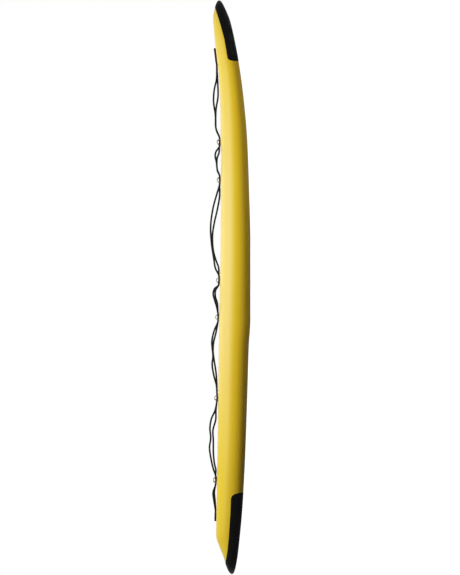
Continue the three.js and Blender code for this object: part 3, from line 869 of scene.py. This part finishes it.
def screw_profile(top):
    neck = top - SCREW_HEAD_HEIGHT
    bottom = top - SCREW_LENGTH
    core = SHANK_RADIUS * THREAD_CORE
    profile = [(0, bottom), (POINT_RADIUS, bottom + POINT_RISE), (core, bottom + POINT_LENGTH)]
    z = bottom + THREAD_START
    while z < neck - THREAD_STOP:
        crest, end = z + THREAD_PITCH * THREAD_CREST, z + THREAD_PITCH * THREAD_END
        profile += [(core, z), (SHANK_RADIUS, crest), (core, end)]
        z += THREAD_PITCH
    rounded = SCREW_HEAD_RADIUS - HEAD_ROUNDING
    return profile + [
        (SHANK_RADIUS, neck - PLAIN_SHANK), (SHANK_RADIUS, neck), (rounded, neck),
        (SCREW_HEAD_RADIUS, neck + HEAD_ROUNDING), (SCREW_HEAD_RADIUS, top - CROWN_DROP),
        (rounded, top - HEAD_ROUNDING), (SCREW_HEAD_RADIUS - CROWN_INSET, top), (0, top),
    ]


def make_screw(name, side_name, side):
    top = CLAMP_HEIGHT - SCREW_SINK
    screw = turned(f"{name}_screw_{side_name}", screw_profile(top), SCREW_SIDES)
    cut_away(screw, [hex_recess(top)])
    screw.data.transform(clamp_frame(name) @ Matrix.Translation((0, side * SCREW_SPACING / 2, 0)))
    screw.data.set_sharp_from_angle(angle=SHARP_ANGLE)
    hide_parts(f"{name}_clamp_screw_{side_name}")
    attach(screw, "board")
    return screw


clamp_blocks = [make_clamp(name) for name in CLAMPS]
screws = [make_screw(name, side_name, side) for name in CLAMPS for side_name, side in SIDES]


# Materials

class Nodes:
    """Short names for the shader nodes that the materials use."""

    def __init__(self, name, colour, roughness, metallic=0.0, specular=0.5):
        self.material = bpy.data.materials.new(name)
        self.material.use_nodes = True
        self.tree = self.material.node_tree
        self.shader = self.tree.nodes["Principled BSDF"]
        self.shader.inputs["Base Color"].default_value = (*colour, 1)
        self.shader.inputs["Roughness"].default_value = roughness
        self.shader.inputs["Metallic"].default_value = metallic
        self.shader.inputs["Specular IOR Level"].default_value = specular
        self.place = self.tree.nodes.new("ShaderNodeTexCoord").outputs["Object"]

    def link(self, source, node, name):
        self.tree.links.new(source, node.inputs[name])

    def noise(self, scale, detail, place=None):
        node = self.tree.nodes.new("ShaderNodeTexNoise")
        node.inputs["Scale"].default_value = scale
        node.inputs["Detail"].default_value = detail
        self.link(place or self.place, node, "Vector")
        return node.outputs["Fac"]

    def cells(self, scale, feature="F1"):
        node = self.tree.nodes.new("ShaderNodeTexVoronoi")
        node.feature = feature
        node.inputs["Scale"].default_value = scale
        self.link(self.place, node, "Vector")
        return node.outputs["Distance"]

    def stretch(self, scale):
        node = self.tree.nodes.new("ShaderNodeMapping")
        node.inputs["Scale"].default_value = scale
        self.link(self.place, node, "Vector")
        return node.outputs["Vector"]

    def span(self, value, low, high, to_low, to_high):
        node = self.tree.nodes.new("ShaderNodeMapRange")
        self.link(value, node, "Value")
        for name, number in zip(("From Min", "From Max", "To Min", "To Max"), (low, high, to_low, to_high)):
            node.inputs[name].default_value = number
        return node.outputs["Result"]

    def math(self, operation, a, b):
        node = self.tree.nodes.new("ShaderNodeMath")
        node.operation = operation
        for socket, value in zip(node.inputs, (a, b)):
            if isinstance(value, (int, float)):
                socket.default_value = value
            else:
                self.tree.links.new(value, socket)
        return node.outputs["Value"]

    def colours(self, factor, low, high):
        node = self.tree.nodes.new("ShaderNodeValToRGB")
        node.color_ramp.elements[0].color = (*low, 1)
        node.color_ramp.elements[1].color = (*high, 1)
        self.link(factor, node, "Fac")
        self.tree.links.new(node.outputs["Color"], self.shader.inputs["Base Color"])

    def along(self):
        """The place along the board."""
        node = self.tree.nodes.new("ShaderNodeSeparateXYZ")
        self.link(self.place, node, 0)
        return node.outputs["X"]

    def facing_up(self):
        """From -1 where the surface faces down to 1 where it faces up."""
        node = self.tree.nodes.new("ShaderNodeSeparateXYZ")
        self.link(self.tree.nodes.new("ShaderNodeNewGeometry").outputs["Normal"], node, 0)
        return node.outputs["Z"]

    def tint(self, factor, colour):
        """Moves the colour so far set towards another one."""
        old = self.shader.inputs["Base Color"].links[0].from_socket
        node = self.tree.nodes.new("ShaderNodeMix")
        node.data_type = "RGBA"
        colours = [socket for socket in node.inputs if socket.type == "RGBA"]
        colours[1].default_value = (*colour, 1)
        self.link(factor, node, "Factor")
        self.tree.links.new(old, colours[0])
        result = [socket for socket in node.outputs if socket.type == "RGBA"][0]
        self.tree.links.new(result, self.shader.inputs["Base Color"])

    def roughness(self, factor, low, high):
        self.tree.links.new(self.span(factor, 0, 1, low, high), self.shader.inputs["Roughness"])

    def bump(self, height, strength, distance):
        node = self.tree.nodes.new("ShaderNodeBump")
        node.inputs["Strength"].default_value = strength
        node.inputs["Distance"].default_value = distance
        self.link(height, node, "Height")
        self.tree.links.new(node.outputs["Normal"], self.shader.inputs["Normal"])


def paint(pieces, nodes):
    for piece in pieces:
        piece.data.materials.clear()
        piece.data.materials.append(nodes.material)


def skin_material():
    nodes = Nodes("foam_skin", (0.88, 0.56, 0.011), 0.4, specular=0.18)
    nodes.shader.inputs["Sheen Weight"].default_value = 0.12
    nodes.shader.inputs["Sheen Roughness"].default_value = 0.48
    patches = nodes.span(nodes.noise(2.5, 4), 0.3, 0.7, 0, 1)
    nodes.colours(patches, (0.86, 0.54, 0.009), (0.89, 0.57, 0.012))
    # The sun has paled what faces up, most of all where the riders lie
    # Painted sheen: what faces up is paler, as if lit from above; a painted highlight below adds more along
    # the middle of the board
    painted_top_sheen = nodes.span(nodes.facing_up(), -0.5, 0.7, 0, 1)
    nodes.tint(nodes.math("MULTIPLY", painted_top_sheen, nodes.span(patches, 0, 1, 0.85, 1)), (0.90, 0.665, 0.035))
    # Painted highlight: the upward-turning rail is paler along the middle of the board, less so towards the
    # tail and the nose
    clear_of_tail = nodes.span(nodes.along(), -1.1, -0.15, 0, 1)
    clear_of_nose = nodes.span(nodes.along(), 0.6, 1.2, 1, 0.35)
    midships = nodes.math("MULTIPLY", clear_of_tail, clear_of_nose)
    painted_midships_highlight = nodes.math("MULTIPLY", nodes.span(nodes.facing_up(), 0.15, 0.55, 0, 1), midships)
    nodes.tint(painted_midships_highlight, (0.90, 0.70, 0.19))
    pebbles = nodes.math("MULTIPLY", nodes.cells(420, "SMOOTH_F1"), 0.7)
    grain = nodes.math("MULTIPLY", nodes.noise(900, 2), 0.3)
    nodes.bump(nodes.math("ADD", pebbles, grain), 0.55, 0.0007)
    nodes.roughness(nodes.noise(30, 3), 0.33, 0.43)
    return nodes


def rubber_material():
    nodes = Nodes("bumper_rubber", (0.005, 0.005, 0.006), 0.6, specular=0.05)
    nodes.colours(nodes.noise(6, 4), (0.002, 0.002, 0.0023), (0.008, 0.008, 0.0085))
    # Lighter patches under the bumpers, growing towards the nose: partly scuffs, partly painted light from
    # below on the nose's underside
    scuffs = nodes.span(nodes.noise(45, 6, nodes.stretch((0.3, 1, 1))), 0.42, 0.68, 0, 1)
    below = nodes.span(nodes.facing_up(), -0.1, -0.7, 0, 1)
    forward = nodes.span(nodes.along(), 0, 1.2, 0.15, 1)
    painted_underlight = nodes.math("MULTIPLY", below, forward)
    nodes.tint(nodes.math("MULTIPLY", scuffs, painted_underlight), (0.05, 0.05, 0.051))
    nodes.bump(nodes.noise(700, 4), 0.25, 0.0003)
    nodes.roughness(nodes.noise(20, 3), 0.5, 0.68)
    return nodes


def rope_material():
    nodes = Nodes("braided_rope", (0.005, 0.005, 0.0055), 0.55, specular=0.12)
    nodes.colours(nodes.noise(90, 3), (0.0018, 0.0018, 0.002), (0.009, 0.009, 0.0098))
    nodes.bump(nodes.noise(2500, 2), 0.4, 0.0002)
    nodes.roughness(nodes.noise(400, 2), 0.45, 0.65)
    return nodes


def steel_material():
    nodes = Nodes("ring_wire", (0.2, 0.2, 0.205), 0.35, metallic=1.0)
    scratches = nodes.noise(60, 4, nodes.stretch((1, 1, 12)))
    nodes.colours(scratches, (0.16, 0.16, 0.165), (0.26, 0.26, 0.265))
    nodes.roughness(scratches, 0.26, 0.45)
    nodes.bump(nodes.noise(1500, 2), 0.06, 0.0001)
    return nodes


def screw_material():
    nodes = Nodes("screw_steel", (0.5, 0.51, 0.52), 0.3, metallic=1.0)
    nodes.roughness(nodes.noise(400, 4), 0.24, 0.42)
    nodes.bump(nodes.noise(2500, 3), 0.1, 0.0001)
    return nodes


def nylon_material():
    nodes = Nodes("moulded_nylon", (0.007, 0.007, 0.0075), 0.5, specular=0.18)
    nodes.colours(nodes.noise(25, 3), (0.004, 0.004, 0.0045), (0.010, 0.010, 0.0105))
    nodes.bump(nodes.cells(1300), 0.15, 0.0002)
    nodes.roughness(nodes.noise(80, 3), 0.42, 0.6)
    return nodes


def cup_material():
    nodes = Nodes("moulded_cup", (0.74, 0.48, 0.02), 0.42, specular=0.35)
    nodes.colours(nodes.noise(20, 3), (0.70, 0.45, 0.018), (0.78, 0.51, 0.022))
    nodes.bump(nodes.noise(1400, 3), 0.12, 0.0002)
    return nodes


def foam_material():
    nodes = Nodes("core_foam", (0.9, 0.9, 0.87), 0.9, specular=0.2)
    beads = nodes.cells(300)
    nodes.colours(beads, (0.93, 0.93, 0.9), (0.78, 0.78, 0.75))
    nodes.bump(beads, 0.5, 0.0008)
    return nodes


def plywood_material():
    nodes = Nodes("plywood", (0.55, 0.33, 0.13), 0.65, specular=0.3)
    grain = nodes.noise(30, 6, nodes.stretch((0.6, 40, 9)))
    nodes.colours(grain, (0.36, 0.19, 0.07), (0.66, 0.43, 0.2))
    nodes.bump(grain, 0.3, 0.0004)
    return nodes


skin, rubber, nylon = skin_material(), rubber_material(), nylon_material()
paint(skins, skin)
paint([nose_bumper, tail_bumper], rubber)
paint([rope for rope, _ in ropes.values()], rope_material())
paint(rings, steel_material())
paint(cups, cup_material())
paint(clamp_blocks, nylon)
paint(screws, screw_material())


def paint_node(name, nodes):
    """Gives its material to a solid that no piece replaces."""
    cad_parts[name].material_slots[0].material = nodes.material


core_foam = foam_material()
for side_name, _ in SIDES:
    paint_node(f"foam_core_{side_name}", core_foam)
    for name in CLAMPS:
        paint_node(f"{name}_clamp_insert_{side_name}", nylon)
paint_node("centre_stringer", plywood_material())


# Floor, world and lamps

FLOOR_SIZE = 400.0
FLOOR_DROP = 0.0003
FLOOR_COLOUR = 0.8
SKY_COLOUR = (1, 1, 1, 1)

# What the camera sees on the floor: its glow grows with the distance, so that the floor fades into white
FLOOR_GLOW_REACH = (1.2, 4.0)
FLOOR_GLOW = (0.4, 1.0)

# What lights the board from below and around: the floor is darker to it, with a bounce that grows to the nose
BOUNCE_COLOUR = 0.06
BOUNCE_REACH = (-1.0, 1.3)
BOUNCE = (0.0, 0.25)
SKY_REACH = (-0.15, 0.15)
SKY = (0.05, 0.12)

# Lamps: place along the board, angle from straight up towards the camera's side, distance, size along and
# across the board, power
LAMPS = [
    ("key_softbox", 0.15, 41, 4.0, (4.6, 1.6), 159),
    ("overhead_softbox", 0.4, -24, 1.7, (1.7, 0.8), 6),
    ("rear_softbox", 0.35, -50, 4.0, (3.0, 1.8), 9),
]


def ramp(tree, value, reach, results):
    """The value, taken from one range to another."""
    node = tree.nodes.new("ShaderNodeMapRange")
    tree.links.new(value, node.inputs["Value"])
    for name, number in zip(("From Min", "From Max", "To Min", "To Max"), reach + results):
        node.inputs[name].default_value = number
    return node.outputs["Result"]


def by_rays(tree, others, seen):
    """One shader for the rays that see the background as it is, and another for all others."""
    rays = tree.nodes.new("ShaderNodeLightPath")
    total = rays.outputs["Is Camera Ray"]
    for name in ("Is Glossy Ray", "Is Transmission Ray"):
        node = tree.nodes.new("ShaderNodeMath")
        node.operation = "MAXIMUM"
        tree.links.new(total, node.inputs[0])
        tree.links.new(rays.outputs[name], node.inputs[1])
        total = node.outputs["Value"]
    mix = tree.nodes.new("ShaderNodeMixShader")
    for socket, source in zip(mix.inputs, (total, others, seen)):
        tree.links.new(source, socket)
    return mix.outputs[0]


def lit_and_glowing(tree, colour, strength):
    """A plain diffuse surface that glows as well."""
    plain = tree.nodes.new("ShaderNodeBsdfDiffuse")
    plain.inputs["Color"].default_value = (colour, colour, colour, 1)
    glow = tree.nodes.new("ShaderNodeEmission")
    tree.links.new(strength, glow.inputs["Strength"])
    both = tree.nodes.new("ShaderNodeAddShader")
    tree.links.new(plain.outputs[0], both.inputs[0])
    tree.links.new(glow.outputs[0], both.inputs[1])
    return both.outputs[0]


def make_floor():
    half, z = FLOOR_SIZE / 2, -FLOOR_DROP
    corners = [(-half, -half, z), (half, -half, z), (half, half, z), (-half, half, z)]
    floor = new_object("floor", corners, [(0, 1, 2, 3)])
    material = bpy.data.materials.new("floor")
    material.use_nodes = True
    tree = material.node_tree
    tree.nodes.clear()
    place = tree.nodes.new("ShaderNodeTexCoord").outputs["Object"]
    away = tree.nodes.new("ShaderNodeVectorMath")
    away.operation = "LENGTH"
    tree.links.new(place, away.inputs[0])
    split = tree.nodes.new("ShaderNodeSeparateXYZ")
    tree.links.new(place, split.inputs[0])
    glow = ramp(tree, away.outputs["Value"], FLOOR_GLOW_REACH, FLOOR_GLOW)
    bounce = ramp(tree, split.outputs["X"], BOUNCE_REACH, BOUNCE)
    seen = lit_and_glowing(tree, FLOOR_COLOUR, glow)
    others = lit_and_glowing(tree, BOUNCE_COLOUR, bounce)
    output = tree.nodes.new("ShaderNodeOutputMaterial")
    tree.links.new(by_rays(tree, others, seen), output.inputs["Surface"])
    floor.data.materials.append(material)


def make_world():
    world = bpy.data.worlds.new("world")
    bpy.context.scene.world = world
    world.use_nodes = True
    tree = world.node_tree
    tree.nodes.clear()
    split = tree.nodes.new("ShaderNodeSeparateXYZ")
    tree.links.new(tree.nodes.new("ShaderNodeTexCoord").outputs["Generated"], split.inputs[0])
    soft, white = (tree.nodes.new("ShaderNodeBackground") for _ in range(2))
    tree.links.new(ramp(tree, split.outputs["Z"], SKY_REACH, SKY), soft.inputs["Strength"])
    for node in (soft, white):
        node.inputs["Color"].default_value = SKY_COLOUR
    output = tree.nodes.new("ShaderNodeOutputWorld")
    tree.links.new(by_rays(tree, soft.outputs[0], white.outputs[0]), output.inputs["Surface"])


def make_lamp(name, x, lean, distance, size, power):
    data = bpy.data.lights.new(name, "AREA")
    data.shape = "RECTANGLE"
    data.size, data.size_y = size
    data.energy = power
    lamp = bpy.data.objects.new(name, data)
    angle = math.radians(lean)
    lamp.location = (x, -distance * math.sin(angle), distance * math.cos(angle) + NOSE_HEIGHT / 2)
    lamp.rotation_euler = (angle, 0, 0)
    bpy.context.scene.collection.objects.link(lamp)


make_floor()
make_world()
for lamp in LAMPS:
    make_lamp(*lamp)
bpy.context.scene.view_settings.view_transform = "Standard"
